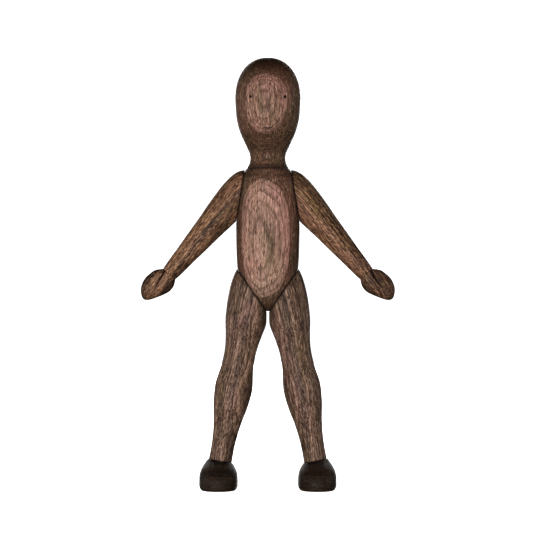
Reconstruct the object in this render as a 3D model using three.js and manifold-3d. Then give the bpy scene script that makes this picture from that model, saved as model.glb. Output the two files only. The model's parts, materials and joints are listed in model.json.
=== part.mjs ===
// Jointed wooden figure. Millimetres, +Z up, face towards -Y, floor at z = 0.
import * as THREE from "three";
import { mergeVertices } from "three/addons/utils/BufferGeometryUtils.js";
import Module from "manifold-3d";

const wasm = await Module();
wasm.setup();

// Legs: turned spindles that lean outwards, cut by the hip face
const ANKLE_HEIGHT = 14.2; // floor to the middle of the ankle seam
const LEG_LENGTH = 88.7; // ankle seam to the middle of the hip face
const LEG_LEAN = 10.4; // degrees off vertical
const HIP_REACH = 8.3; // midline to the middle of a hip face
const HIP_FACE_LEAN = 34.4; // degrees off vertical
const THIGH_RADIUS = 11;
const KNEE_RADIUS = 8.05;
const CALF_RADIUS = 9.65;
const ANKLE_RADIUS = 5.9;
const LEG_GAP = 1.2; // between the flats where the thighs would meet

// Feet
const FOOT_WIDTH = 19.7;
const TOE_REACH = 21; // in front of the ankle
const HEEL_REACH = 10.5; // behind the ankle
const SOLE_ROUND = 1;
const FOOT_OFFSET = 0.8; // of the foot outwards from the ankle

// Torso
const HIP_TO_SHOULDER = 47.6; // height between the joint middles
const SHOULDER_CUT = 3.2; // of a shoulder face into the torso block, at its middle
const SHOULDER_TO_NECK = 14.4;
const SHOULDER_FACE_LEAN = 9.7; // degrees off vertical
const KEEL_RISE = 1.4; // of the blunt tip over the point where the hip faces meet
const TORSO_WIDTH = 34.4;
const TORSO_DEPTH = 27;

// Head
const HEAD_HEIGHT = 56.6; // neck seam to crown
const HEAD_RADIUS = 16.7;
const NECK_RADIUS = 8.95;
const NECK_LEDGE = 0.85; // from the rim of the neck to the shoulder face
const EYE_SPACING = 17.4;
const EYE_HEIGHT = 35.7; // over the neck seam
const EYE_HOLE_RADIUS = 0.7;
const EYE_HOLE_DEPTH = 1.4;
const MOUTH_WIDTH = 4.7;
const MOUTH_HEIGHT = 19.8;
const MOUTH_CURL = 0.55;
const MOUTH_GROOVE = 0.28;

// Arms: turned spindles with the hand carved from the same blank
const ARM_LENGTH = 56.7; // wrist to the shoulder face, along the spindle
const ARM_LEAN = 40.7; // degrees off vertical
const ARM_RISE = 3.5; // of the spindle over the middle of the shoulder face
const ARM_RADIUS = 9;
const WRIST_RADIUS = 4.15;
const HAND_LENGTH = 18.2;
const HAND_HALF_WIDTH = 6.8;
const HAND_HALF_THICKNESS = 3.8;
const THUMB_GROOVE = 0.55;

// Joints
const SEAM = 0.3; // between the faces of two wooden pieces
const FIT = 0.15; // radial clearance of the hidden pieces
const SPRING_RADIUS = 1.2;
const SPRING_BORE_RADIUS = 1.9;
const BALL_RADIUS = 1.8;
const SEAT_RADIUS = 2.6;
const SEAT_LENGTH = 2.6;
const SEAT_DEPTH = 3; // below the limb's face
const NECK_DOWEL_RADIUS = 3.5;
const ANKLE_DOWEL_RADIUS = 2.4;
const BUSH_WALL = 1;

// Facets
const ROUND = 32;
const LIMB = 24;
const SMALL = 16;
const FAR = 300;

const rad = (degrees) => (degrees * Math.PI) / 180;
const vec = (x, y, z) => new THREE.Vector3(x, y, z);
const along = (point, direction, distance) =>
  point.clone().addScaledVector(direction, distance);

/** A row of a table of [position, ...values], read with a smooth curve through the rows. */
function smooth(table, at) {
  let i = 0;
  while (i < table.length - 2 && at > table[i + 1][0]) i += 1;
  const [p0, p1] = [table[i], table[i + 1]];
  const before = table[Math.max(i - 1, 0)];
  const after = table[Math.min(i + 2, table.length - 1)];
  const span = p1[0] - p0[0];
  const t = (at - p0[0]) / span;
  return p0.slice(1).map((start, k) => {
    const end = p1[k + 1];
    const m0 = ((end - before[k + 1]) / (p1[0] - before[0])) * span;
    const m1 = ((after[k + 1] - start) / (after[0] - p0[0])) * span;
    return (
      start * (2 * t ** 3 - 3 * t ** 2 + 1) +
      m0 * (t ** 3 - 2 * t ** 2 + t) +
      end * (3 * t ** 2 - 2 * t ** 3) +
      m1 * (t ** 3 - t ** 2)
    );
  });
}

/** A closed solid through rings of {c, u, v, a, b, power}: centre, two directions, half-widths, roundness. */
function loft(rings, sides) {
  const at = [];
  const faces = [];
  for (const { c, u, v, a, b, power = 2 } of rings) {
    const bend = (w) => Math.sign(w) * Math.abs(w) ** (2 / power);
    for (let k = 0; k < sides; k += 1) {
      const turn = (2 * Math.PI * k) / sides;
      const p = along(along(c, u, a * bend(Math.cos(turn))), v, b * bend(Math.sin(turn)));
      at.push(p.x, p.y, p.z);
    }
  }
  const first = at.length / 3;
  for (const { c } of [rings[0], rings.at(-1)]) at.push(c.x, c.y, c.z);
  const last = (rings.length - 1) * sides;
  for (let k = 0; k < sides; k += 1) {
    const next = (k + 1) % sides;
    faces.push(first, next, k, first + 1, last + k, last + next);
    for (let row = 0; row < last; row += sides) {
      faces.push(row + k, row + next, row + sides + next);
      faces.push(row + k, row + sides + next, row + sides + k);
    }
  }
  return solid(at, faces);
}

/** A manifold solid from loose corners and triangles. */
function solid(positions, triangles) {
  const loose = new THREE.BufferGeometry();
  loose.setAttribute("position", new THREE.Float32BufferAttribute(positions, 3));
  loose.setIndex(triangles);
  const joined = mergeVertices(loose, 1e-4);
  const index = Array.from(joined.index.array);
  const kept = [];
  for (let i = 0; i < index.length; i += 3) {
    const [a, b, c] = index.slice(i, i + 3);
    if (a !== b && b !== c && c !== a) kept.push(a, b, c);
  }
  return new wasm.Manifold(
    new wasm.Mesh({
      numProp: 3,
      vertProperties: new Float32Array(joined.attributes.position.array),
      triVerts: new Uint32Array(kept),
    }),
  );
}

/** Two directions that with the axis make a right-handed frame. */
function square(axis) {
  const u = vec(0, 1, 0).cross(axis).normalize();
  return [u, axis.clone().cross(u)];
}

/** A solid of revolution: a radius at each distance along an axis from a point. */
function spindle(base, axis, distances, radiusAt, sides = LIMB) {
  const [u, v] = square(axis);
  const ring = (s) => ({ c: along(base, axis, s), u, v, a: radiusAt(s), b: radiusAt(s) });
  return loft(distances.map(ring), sides);
}

/** A round rod along an axis between two distances from a point. */
const rod = (base, axis, from, to, radius, sides = SMALL) =>
  spindle(base, axis, [from, to], () => radius, sides);

/** A bush or ferrule: a round rod with a round hole through it. */
const sleeve = (base, axis, from, to, outer, inner) =>
  rod(base, axis, from, to, outer).subtract(rod(base, axis, from - 1, to + 1, inner));

/** A ball with its poles on the given axis. */
function ball(centre, axis, radius, sides = SMALL) {
  const turns = Array.from({ length: 11 }, (_, k) => -radius * Math.cos((Math.PI * k) / 10));
  const radiusAt = (s) => Math.sqrt(Math.max(radius ** 2 - s ** 2, 0));
  return spindle(centre, axis, turns, radiusAt, sides);
}

/** Half of a rod bent at the midline: from past a joint face to a rounded elbow at x = 0. */
const bentRod = (face, out, to, radius, sides = SMALL) =>
  rod(face, out, -face.x / out.x, to, radius, sides).add(
    ball(along(face, out, -face.x / out.x), out, radius, sides),
  );

/** Everything on the side of a plane that its normal points to. */
const beyond = (point, normal) => rod(point, normal, 0, FAR, FAR, 4);

const mirror = (piece) => piece.mirror([1, 0, 0]);

/** Even steps from 0 to 1, drawn closer together towards 1 when ease is over 1. */
const steps = (count, ease = 1) =>
  Array.from({ length: count + 1 }, (_, k) => 1 - (1 - k / count) ** ease);

/** The figure's joints on its right side, x < 0; the left side is the mirror image. */
function skeleton() {
  const y = (TOE_REACH - Math.max(HEAD_RADIUS, TORSO_DEPTH / 2, HEEL_REACH)) / 2;
  const lean = (degrees) => vec(Math.sin(rad(degrees)), 0, Math.cos(rad(degrees)));
  const shin = lean(LEG_LEAN);
  const upArm = lean(ARM_LEAN);
  const faceUp = lean(SHOULDER_FACE_LEAN);
  const faceDown = lean(HIP_FACE_LEAN);
  const hip = vec(-HIP_REACH, y, ANKLE_HEIGHT + LEG_LENGTH * shin.z);
  const shoulder = vec(SHOULDER_CUT - TORSO_WIDTH / 2, y, hip.z + HIP_TO_SHOULDER);
  return {
    shin,
    upArm,
    hip,
    shoulder,
    hipOut: vec(-faceDown.z, 0, -faceDown.x),
    shoulderOut: vec(-faceUp.z, 0, faceUp.x),
    ankle: along(hip, shin, -LEG_LENGTH),
    wrist: along(along(shoulder, faceUp, ARM_RISE), upArm, -ARM_LENGTH),
    neck: vec(0, y, shoulder.z + SHOULDER_TO_NECK),
    keel: hip.z - HIP_REACH / Math.tan(rad(HIP_FACE_LEAN)) + KEEL_RISE,
  };
}

const J = skeleton();
const [X, Y, UP] = [vec(1, 0, 0), vec(0, 1, 0), vec(0, 0, 1)];

// Sizes that follow from the others
const NECK_FOOT_RADIUS = -J.shoulder.x - SHOULDER_TO_NECK * Math.tan(rad(SHOULDER_FACE_LEAN)) - NECK_LEDGE;
const NECK_BORE = SHOULDER_TO_NECK - SPRING_BORE_RADIUS - 2.5;
const BUSH_ROOM = FIT + BUSH_WALL + FIT;
const ANKLE_BORE = 13;
const FOOT_BORE = 0.55 * ANKLE_HEIGHT;
const BALL_DEPTH =
  SEAT_DEPTH + SEAT_LENGTH + FIT + Math.sqrt(BALL_RADIUS ** 2 - (SPRING_RADIUS + FIT) ** 2);
const SEAT_BORE = BALL_DEPTH + BALL_RADIUS + 0.5;

/** The head's radius at a height over the neck seam: a curve to the widest ring, then a dome. */
function headRadius(height) {
  const widest = 0.625 * HEAD_HEIGHT;
  const swell = (share) => NECK_RADIUS + share * (HEAD_RADIUS - NECK_RADIUS);
  const flare = (share) => NECK_RADIUS + share * (NECK_FOOT_RADIUS - NECK_RADIUS);
  const chin = [
    [0, flare(1)],
    [0.045, flare(0.26)],
    [0.092, flare(0)],
    [0.138, swell(0.055)],
    [0.222, swell(0.335)],
    [0.33, swell(0.685)],
    [0.46, swell(0.915)],
    [0.625, swell(1)],
  ];
  if (height < widest) return smooth(chin, height / HEAD_HEIGHT)[0];
  const rise = (height - widest) / (HEAD_HEIGHT - widest);
  return HEAD_RADIUS * Math.max(1 - rise ** 2.2, 0) ** (1 / 2.2);
}

function eyeHole(side) {
  const x = (side * EYE_SPACING) / 2;
  const r = headRadius(EYE_HEIGHT);
  const out = vec(x, -Math.sqrt(r ** 2 - x ** 2), 0).normalize();
  return rod(along(J.neck, UP, EYE_HEIGHT), out, r - EYE_HOLE_DEPTH, r + 2, EYE_HOLE_RADIUS, 12);
}

function mouthGroove() {
  const rings = steps(8).map((t) => {
    const s = 2 * t - 1;
    const x = (s * MOUTH_WIDTH) / 2;
    const height = MOUTH_HEIGHT + MOUTH_CURL * s ** 2;
    const front = Math.sqrt(headRadius(height) ** 2 - x ** 2);
    const half = MOUTH_GROOVE * (1 - 0.5 * s ** 2);
    return { c: vec(x, J.neck.y - front, J.neck.z + height), u: Y, v: UP, a: half, b: half };
  });
  return loft(rings, 8);
}

function head() {
  const heights = [
    ...steps(15).map((t) => 0.625 * t),
    ...steps(9, 2).slice(1).map((t) => 0.625 + 0.375 * t),
  ].map((t) => t * HEAD_HEIGHT);
  return spindle(J.neck, UP, heights, headRadius, ROUND)
    .subtract(rod(J.neck, UP, -1, NECK_BORE + FIT, NECK_DOWEL_RADIUS + FIT))
    .subtract(eyeHole(-1))
    .subtract(eyeHole(1))
    .subtract(mouthGroove());
}

/** Half-width and half-depth of the torso block at a share of its height, before the joint faces are cut. */
function torsoSection(share) {
  const neck = NECK_FOOT_RADIUS + 0.2;
  const [a, b] = smooth(
    [
      [0, 0.64, 0.56],
      [0.05, 0.79, 0.77],
      [0.13, 0.885, 0.905],
      [0.3, 0.91, 0.985],
      [0.42, 0.935, 1],
      [0.6, 0.955, 1],
      [0.75, 1, 0.985],
      [0.87, 0.97, 0.955],
      [0.93, 0.87, 0.92],
      [0.97, 0.74, 0.85],
      [1, (2 * neck) / TORSO_WIDTH, (2 * neck) / TORSO_DEPTH],
    ],
    share,
  );
  return { a: (a * TORSO_WIDTH) / 2, b: (b * TORSO_DEPTH) / 2 };
}

function torso() {
  const height = J.neck.z - SEAM - J.keel;
  const shares = [
    0, 0.02, 0.05, 0.09, 0.14, 0.21, 0.3, 0.4, 0.5, 0.6, 0.7, 0.78, 0.84, 0.89, 0.925, 0.95, 0.97,
    0.985, 1,
  ];
  const rings = shares.map((share) => ({
    c: vec(0, J.neck.y, J.keel + share * height),
    u: X,
    v: Y,
    power: 2 + 0.3 * Math.sin(Math.PI * share),
    ...torsoSection(share),
  }));
  let piece = loft(rings, ROUND);
  for (const [face, out] of [
    [J.shoulder, J.shoulderOut],
    [J.hip, J.hipOut],
  ]) {
    const cut = beyond(face, out).add(bentRod(face, out, 1, SPRING_BORE_RADIUS));
    piece = piece.subtract(cut).subtract(mirror(cut));
  }
  return piece.subtract(rod(J.neck, UP, -NECK_BORE, 1, NECK_DOWEL_RADIUS + BUSH_ROOM));
}

/** What is cut from a limb at its joint face: all inside the face, and the bore for the spring's seat. */
const limbCut = (face, out) =>
  beyond(along(face, out, SEAM), out.clone().negate()).add(
    rod(face, out, -1, SEAT_BORE, SEAT_RADIUS + FIT),
  );

function hand() {
  const across = J.upArm.clone().cross(Y);
  const table = [
    [-0.08, 0, 0.45, 0.8],
    [0, 0, 0.62, 0.93],
    [0.17, 0.08, 0.92, 1],
    [0.35, 0.13, 1, 1],
    [0.52, 0.23, 0.94, 0.9],
    [0.7, 0.3, 0.78, 0.76],
    [0.85, 0.31, 0.56, 0.56],
    [0.95, 0.28, 0.32, 0.34],
    [1, 0.25, 0, 0],
  ];
  const shares = [-0.08, 0, 0.08, 0.17, 0.26, 0.35, 0.44, 0.52, 0.61, 0.7, 0.78, 0.85, 0.91, 0.955, 0.985, 1];
  const rings = shares.map((share) => {
    const [shift, width, thickness] = smooth(table, share);
    return {
      c: along(along(J.wrist, J.upArm, -share * HAND_LENGTH), across, shift * HAND_HALF_WIDTH),
      u: across,
      v: Y,
      a: Math.max(width, 0) * HAND_HALF_WIDTH,
      b: Math.max(thickness, 0) * HAND_HALF_THICKNESS,
    };
  });
  return loft(rings, LIMB);
}

/** The thumb's groove on one face of the hand, side -1 for the front. */
function thumbGroove(side) {
  const across = J.upArm.clone().cross(Y);
  const rings = steps(6).map((t) => {
    const down = (0.02 + 0.56 * t) * HAND_LENGTH;
    const c = along(along(J.wrist, J.upArm, -down), across, (0.4 - 0.28 * t) * HAND_HALF_WIDTH);
    const half = THUMB_GROOVE * Math.sqrt(1 - t ** 2);
    const skin = HAND_HALF_THICKNESS * (0.93 - 0.1 * t ** 2);
    return { c: along(c, Y, side * skin), u: across, v: Y, a: half, b: 2 * half };
  });
  return loft(rings, 4);
}

function armRadius(distance) {
  const swell = (share) => WRIST_RADIUS + share * (ARM_RADIUS - WRIST_RADIUS);
  return smooth(
    [
      [0, swell(0)],
      [0.05, swell(0.09)],
      [0.23, swell(0.27)],
      [0.39, swell(0.45)],
      [0.56, swell(0.63)],
      [0.71, swell(0.83)],
      [0.85, swell(0.965)],
      [0.95, swell(1)],
      [1.04, swell(0.91)],
      [1.11, swell(0.66)],
      [1.16, 0.55 * ARM_RADIUS],
      [1.2, 0],
    ],
    distance / ARM_LENGTH,
  )[0];
}

function arm() {
  const distances = [
    0, 0.03, 0.1, 0.2, 0.32, 0.44, 0.56, 0.66, 0.75, 0.83, 0.9, 0.96, 1.01, 1.06, 1.1, 1.135, 1.165,
    1.187, 1.2,
  ].map((share) => share * ARM_LENGTH);
  return spindle(J.wrist, J.upArm, distances, (s) => Math.max(armRadius(s), 0))
    .add(hand())
    .subtract(thumbGroove(-1))
    .subtract(thumbGroove(1))
    .subtract(limbCut(J.shoulder, J.shoulderOut));
}

function legRadius(distance) {
  return smooth(
    [
      [0, ANKLE_RADIUS],
      [0.08, 0.995 * ANKLE_RADIUS],
      [0.155, 0.7 * ANKLE_RADIUS + 0.3 * KNEE_RADIUS * 0.89],
      [0.235, 0.5 * ANKLE_RADIUS + 0.5 * CALF_RADIUS * 0.89],
      [0.315, 0.27 * ANKLE_RADIUS + 0.73 * CALF_RADIUS],
      [0.375, 0.97 * CALF_RADIUS],
      [0.435, CALF_RADIUS],
      [0.48, 0.955 * CALF_RADIUS],
      [0.535, 0.55 * KNEE_RADIUS + 0.45 * CALF_RADIUS * 0.93],
      [0.6, KNEE_RADIUS],
      [0.655, KNEE_RADIUS * 1.015],
      [0.73, 0.63 * KNEE_RADIUS + 0.37 * THIGH_RADIUS],
      [0.8, 0.2 * KNEE_RADIUS + 0.8 * THIGH_RADIUS],
      [0.87, THIGH_RADIUS],
      [0.95, 1.02 * THIGH_RADIUS],
      [1.04, 0.97 * THIGH_RADIUS],
      [1.12, 0.8 * THIGH_RADIUS],
      [1.18, 0.5 * THIGH_RADIUS],
      [1.22, 0],
    ],
    distance / LEG_LENGTH,
  )[0];
}

function leg() {
  const shares = [
    0, 0.07, 0.13, 0.19, 0.25, 0.31, 0.365, 0.42, 0.47, 0.52, 0.575, 0.63, 0.685, 0.74, 0.795, 0.85,
    0.9, 0.95, 1, 1.05, 1.1, 1.15, 1.19, 1.22,
  ];
  const distances = shares.map((share) => Math.max(share * LEG_LENGTH, SEAM));
  return spindle(J.ankle, J.shin, distances, (s) => Math.max(legRadius(s), 0))
    .subtract(limbCut(J.hip, J.hipOut))
    .subtract(beyond(vec(-LEG_GAP / 2, J.hip.y, J.hip.z), X))
    .subtract(rod(J.ankle, J.shin, -1, ANKLE_BORE, ANKLE_DOWEL_RADIUS + BUSH_ROOM));
}

function foot() {
  const long = (TOE_REACH + HEEL_REACH) / 2;
  const middle = (HEEL_REACH - TOE_REACH) / 2;
  const table = [
    [0, 1 - (2 * SOLE_ROUND) / FOOT_WIDTH, 1 - SOLE_ROUND / long, 1],
    [0.1, 0.985, 0.99, 1],
    [0.3, 1, 1, 1],
    [0.5, 0.985, 0.95, 0.94],
    [0.67, 0.925, 0.85, 0.8],
    [0.85, 0.79, 0.68, 0.55],
    [1, 0.64, 0.44, 0.25],
    [1.12, 0.5, 0.3, 0.1],
  ];
  const shares = [0, 0.035, 0.09, 0.18, 0.3, 0.42, 0.54, 0.65, 0.75, 0.84, 0.92, 1, 1.12];
  const rings = shares.map((share) => {
    const [width, length, forward] = smooth(table, share);
    return {
      c: vec(J.ankle.x - FOOT_OFFSET, J.ankle.y + middle * forward, share * ANKLE_HEIGHT),
      u: X,
      v: Y,
      a: (width * FOOT_WIDTH) / 2,
      b: length * long,
      power: 2.3,
    };
  });
  return loft(rings, LIMB)
    .subtract(beyond(J.ankle, J.shin))
    .subtract(rod(J.ankle, J.shin, -FOOT_BORE - FIT, 1, ANKLE_DOWEL_RADIUS + FIT));
}

/** A close-wound spring bent at the midline between two mirrored joints, with a ball on each end. */
function spring(face, out) {
  const half = bentRod(face, out, BALL_DEPTH, SPRING_RADIUS, 12).add(
    ball(along(face, out, BALL_DEPTH), out, BALL_RADIUS),
  );
  return half.add(mirror(half));
}

const seat = (face, out) =>
  sleeve(face, out, SEAT_DEPTH, SEAT_DEPTH + SEAT_LENGTH, SEAT_RADIUS, SPRING_RADIUS + FIT);

const neckDowel = () => rod(J.neck, UP, FIT - NECK_BORE, NECK_BORE, NECK_DOWEL_RADIUS);

const neckBush = () =>
  sleeve(J.neck, UP, 2 * FIT - NECK_BORE, -1, NECK_DOWEL_RADIUS + FIT + BUSH_WALL, NECK_DOWEL_RADIUS + FIT);

const ankleDowel = () => rod(J.ankle, J.shin, -FOOT_BORE, ANKLE_BORE - FIT, ANKLE_DOWEL_RADIUS);

const ankleBush = () => {
  const bore = ANKLE_DOWEL_RADIUS + FIT;
  return sleeve(J.ankle, J.shin, 1, ANKLE_BORE - 2 * FIT, bore + BUSH_WALL, bore);
};

const finish = (color, roughness, metalness = 0) =>
  new THREE.MeshStandardMaterial({ color, roughness, metalness });

const WOOD = finish("#6b5143", 0.6);
const DARK_WOOD = finish("#2f2620", 0.55);
const DOWEL = finish("#c9a877", 0.7);
const STEEL = finish("#9aa0a6", 0.35, 1);
const RUBBER = finish("#1d1d1f", 0.85);
const BRASS = finish("#b8924a", 0.35, 1);

function mesh(name, piece, material) {
  const { vertProperties, triVerts } = piece.getMesh();
  const geometry = new THREE.BufferGeometry();
  geometry.setAttribute("position", new THREE.BufferAttribute(vertProperties, 3));
  geometry.setIndex(new THREE.BufferAttribute(triVerts, 1));
  geometry.computeVertexNormals();
  const made = new THREE.Mesh(geometry, material);
  made.name = name;
  return made;
}

const figure = new THREE.Group();
figure.name = "mannequin";

for (const [name, piece, material] of [
  ["torso", torso(), WOOD],
  ["head", head(), WOOD],
  ["neck_dowel", neckDowel(), DOWEL],
  ["neck_bush", neckBush(), RUBBER],
  ["shoulder_spring", spring(J.shoulder, J.shoulderOut), STEEL],
  ["hip_spring", spring(J.hip, J.hipOut), STEEL],
]) {
  figure.add(mesh(name, piece, material));
}

for (const [name, piece, material] of [
  ["arm", arm(), WOOD],
  ["leg", leg(), WOOD],
  ["foot", foot(), DARK_WOOD],
  ["shoulder_seat", seat(J.shoulder, J.shoulderOut), BRASS],
  ["hip_seat", seat(J.hip, J.hipOut), BRASS],
  ["ankle_dowel", ankleDowel(), DOWEL],
  ["ankle_bush", ankleBush(), RUBBER],
]) {
  figure.add(mesh(`right_${name}`, piece, material));
  figure.add(mesh(`left_${name}`, mirror(piece), material));
}

export default figure;
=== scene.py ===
"""Looks of a small jointed wooden figure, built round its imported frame.

Everything is in metres, +Z is up and the face looks towards -Y. The wooden pieces are turned and
carved as skins of rings, the hidden springs and dowels are grown by Geometry Nodes, and every
finish is a procedural material.
"""

import json
import logging
import math
from dataclasses import dataclass, field, replace
from enum import Enum
from functools import cached_property
from typing import Callable, Iterable, Sequence

import bmesh
import bpy
import numpy as np
from mathutils import Euler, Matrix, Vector


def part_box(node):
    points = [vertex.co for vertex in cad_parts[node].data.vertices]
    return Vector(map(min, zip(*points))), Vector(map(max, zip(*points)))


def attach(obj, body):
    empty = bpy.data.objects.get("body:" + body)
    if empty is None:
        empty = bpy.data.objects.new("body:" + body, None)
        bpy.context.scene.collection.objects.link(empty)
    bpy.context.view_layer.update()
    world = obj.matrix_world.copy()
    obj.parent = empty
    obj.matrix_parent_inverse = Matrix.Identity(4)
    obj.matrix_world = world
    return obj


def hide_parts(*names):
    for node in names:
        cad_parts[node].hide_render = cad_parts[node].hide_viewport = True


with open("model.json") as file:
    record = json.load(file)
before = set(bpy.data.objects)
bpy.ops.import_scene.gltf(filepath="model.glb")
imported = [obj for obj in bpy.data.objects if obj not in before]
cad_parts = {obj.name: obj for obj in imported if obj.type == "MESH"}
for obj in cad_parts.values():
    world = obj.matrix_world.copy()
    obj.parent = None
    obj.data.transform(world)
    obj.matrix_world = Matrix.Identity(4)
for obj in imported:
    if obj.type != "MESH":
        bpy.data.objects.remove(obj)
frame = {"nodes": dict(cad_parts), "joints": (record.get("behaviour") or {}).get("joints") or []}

LOG = logging.getLogger("figure")
MM = 0.001
SEAM = 0.05 * MM  # between the faces of two wooden pieces
FIT = 0.15 * MM  # radial clearance of the hidden pieces
EDGE = 0.45 * MM  # rounding of a joint face's rim
CHAMFER = 0.15 * MM  # at the mouth and the bottom of a bore
SEAM_SHADE_REACH = 0.5 * MM  # how far the painted shade at a joint seam fades into the wood
HALVINGS = 40  # when a joint face is searched for along a limb
NECK_DOWEL = 3.5 * MM  # radius
ANKLE_DOWEL = 2.4 * MM  # radius
ARM_LEAN = 40.7  # degrees from upright
LEG_LEAN = 10.4  # degrees from upright

Table = Sequence[Sequence[float]]
Triple = tuple[float, float, float]
Piece = bpy.types.Object
Socket = bpy.types.NodeSocket


class Side(Enum):
    """The figure's own two sides; the right one lies at x < 0."""

    RIGHT = "right"
    LEFT = "left"

    @property
    def sign(self) -> int:
        """What a sideways size of the right side is multiplied by."""
        return 1 if self is Side.RIGHT else -1


# ---------------------------------------------------------------- curves and skins


def smooth(table: Table, at: np.ndarray | float) -> np.ndarray:
    """Reads a table of [position, value, ...] with a smooth curve through its rows.

    Args:
        table: rows in rising order of position.
        at: the positions to read.

    Returns:
        One row of values for each position.
    """
    rows = np.asarray(table, float)
    at = np.atleast_1d(np.asarray(at, float))
    x, y = rows[:, 0], rows[:, 1:]
    i = np.clip(np.searchsorted(x, at) - 1, 0, len(x) - 2)
    low, high = np.maximum(i - 1, 0), np.minimum(i + 2, len(x) - 1)
    span = (x[i + 1] - x[i])[:, None]
    t = ((at - x[i]) / (x[i + 1] - x[i]))[:, None]
    m0 = (y[i + 1] - y[low]) / (x[i + 1] - x[low])[:, None] * span
    m1 = (y[high] - y[i]) / (x[high] - x[i])[:, None] * span
    return (
        y[i] * (2 * t**3 - 3 * t**2 + 1)
        + m0 * (t**3 - 2 * t**2 + t)
        + y[i + 1] * (3 * t**2 - 2 * t**3)
        + m1 * (t**3 - t**2)
    )


def unit(v: np.ndarray) -> np.ndarray:
    """A vector, or each row of an array of vectors, at length one."""
    return v / np.linalg.norm(v, axis=-1, keepdims=True)


def circle(sides: int) -> tuple[np.ndarray, np.ndarray]:
    """The cosines and sines of a full turn in even steps."""
    turn = np.arange(sides) * 2 * math.pi / sides
    return np.cos(turn), np.sin(turn)


def soft_limit(value: np.ndarray, limit: np.ndarray | float, radius: float) -> np.ndarray:
    """Keeps a value under a limit, with a rounded shoulder of about that radius."""
    gap = limit - value
    return limit - (gap + np.sqrt(gap**2 + radius**2)) / 2


def bend(w: np.ndarray, power: float) -> np.ndarray:
    """Turns a cosine or sine into a superellipse's."""
    return np.sign(w) * np.abs(w) ** (2 / power)


@dataclass
class Skin:
    """A closed surface grown ring by ring, from a first pole to a last one."""

    first: np.ndarray
    rings: list[np.ndarray] = field(default_factory=list)

    def add(self, rings: Iterable[np.ndarray]) -> None:
        """Grows the surface by more rings, each an array of points."""
        self.rings.extend(rings)

    def piece(self, name: str, last: np.ndarray, side: Side = Side.RIGHT) -> Piece:
        """Closes the surface at its last pole and makes it an object.

        Args:
            name: the object's name.
            last: the pole after the last ring.
            side: LEFT mirrors the surface to the other side of the figure.

        Returns:
            The object, at the origin, with its faces outwards.
        """
        sides, count = len(self.rings[0]), len(self.rings)
        points = np.concatenate([self.first[None], *self.rings, last[None]])
        k = np.arange(sides)
        rows = 1 + sides * np.arange(count - 1)[:, None]
        here, there = rows + k, rows + (k + 1) % sides
        quads = np.stack([here, there, there + sides, here + sides], -1).reshape(-1, 4)
        end = 1 + sides * (count - 1)
        start_fan = [[0, 1 + (j + 1) % sides, 1 + j] for j in range(sides)]
        end_fan = [[len(points) - 1, end + j, end + (j + 1) % sides] for j in range(sides)]
        faces = [*quads.tolist(), *start_fan, *end_fan]
        piece = new_piece(name, points * (side.sign, 1, 1), faces)
        outwards(piece)
        return piece


def new_piece(name: str, points: np.ndarray, faces: list[list[int]]) -> Piece:
    """Makes a mesh object from points and faces and links it to the scene."""
    mesh = bpy.data.meshes.new(name)
    mesh.from_pydata(points.tolist(), [], faces)
    mesh.update()
    piece = bpy.data.objects.new(name, mesh)
    bpy.context.scene.collection.objects.link(piece)
    return piece


def outwards(piece: Piece, doubles: float = 0) -> None:
    """Turns the faces of a closed piece outwards, after merging points closer than a distance."""
    solid = bmesh.new()
    solid.from_mesh(piece.data)
    if doubles:
        bmesh.ops.remove_doubles(solid, verts=solid.verts, dist=doubles)
        bmesh.ops.dissolve_degenerate(solid, edges=solid.edges, dist=doubles)
    bmesh.ops.recalc_face_normals(solid, faces=solid.faces)
    solid.to_mesh(piece.data)
    solid.free()


def soften(piece: Piece, angle: float = 40) -> None:
    """Shades a piece smooth, apart from edges sharper than an angle in degrees."""
    piece.data.shade_smooth()
    piece.data.set_sharp_from_angle(angle=math.radians(angle))


def baked(piece: Piece) -> None:
    """Applies a piece's modifiers to its mesh and removes them."""
    graph = bpy.context.evaluated_depsgraph_get()
    mesh = bpy.data.meshes.new_from_object(piece.evaluated_get(graph))
    piece.modifiers.clear()
    piece.data = mesh


def carve(piece: Piece, *tools: Piece) -> None:
    """Cuts other solids out of a piece and deletes them."""
    for tool in tools:
        cut = piece.modifiers.new("cut", "BOOLEAN")
        cut.operation = "DIFFERENCE"
        cut.solver = "EXACT"
        cut.object = tool
        baked(piece)
        bpy.data.objects.remove(tool)


def rod(start: np.ndarray, end: np.ndarray, radius: float, sides: int = 32) -> Piece:
    """A plain closed rod between two points, as a cutting tool."""
    axis = unit(end - start)
    u = unit(np.cross(axis, (0.31, 0.87, 0.12)))
    v = np.cross(axis, u)
    cos, sin = circle(sides)
    ring = radius * (np.outer(cos, u) + np.outer(sin, v))
    skin = Skin(start)
    skin.add([start + ring, end + ring])
    return skin.piece("tool", end)


# ---------------------------------------------------------------- the frame's joints


@dataclass(frozen=True)
class Joint:
    """One joint of the right side or the middle: its place and its axis."""

    place: np.ndarray
    axis: np.ndarray

    @classmethod
    def named(cls, name: str) -> "Joint":
        """Reads a joint from the frame."""
        found = next(j for j in frame["joints"] if j["name"] == name)
        return cls(np.array(found["pos_m"], float), unit(np.array(found["axis"], float)))

    def height(self, points: np.ndarray) -> np.ndarray:
        """How far points lie from the joint's face, along its axis."""
        return (points - self.place) @ self.axis

    def rim(self, points: np.ndarray, radius: float, depth: float) -> np.ndarray:
        """A circle about the axis, each point of it in the direction of a given one.

        Args:
            points: a ring of points round the axis.
            radius: the circle's radius.
            depth: the circle's distance along the axis.

        Returns:
            One point of the circle for each point given.
        """
        flat = points - self.place - np.outer(self.height(points), self.axis)
        return self.place + self.axis * depth + unit(flat) * radius


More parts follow.
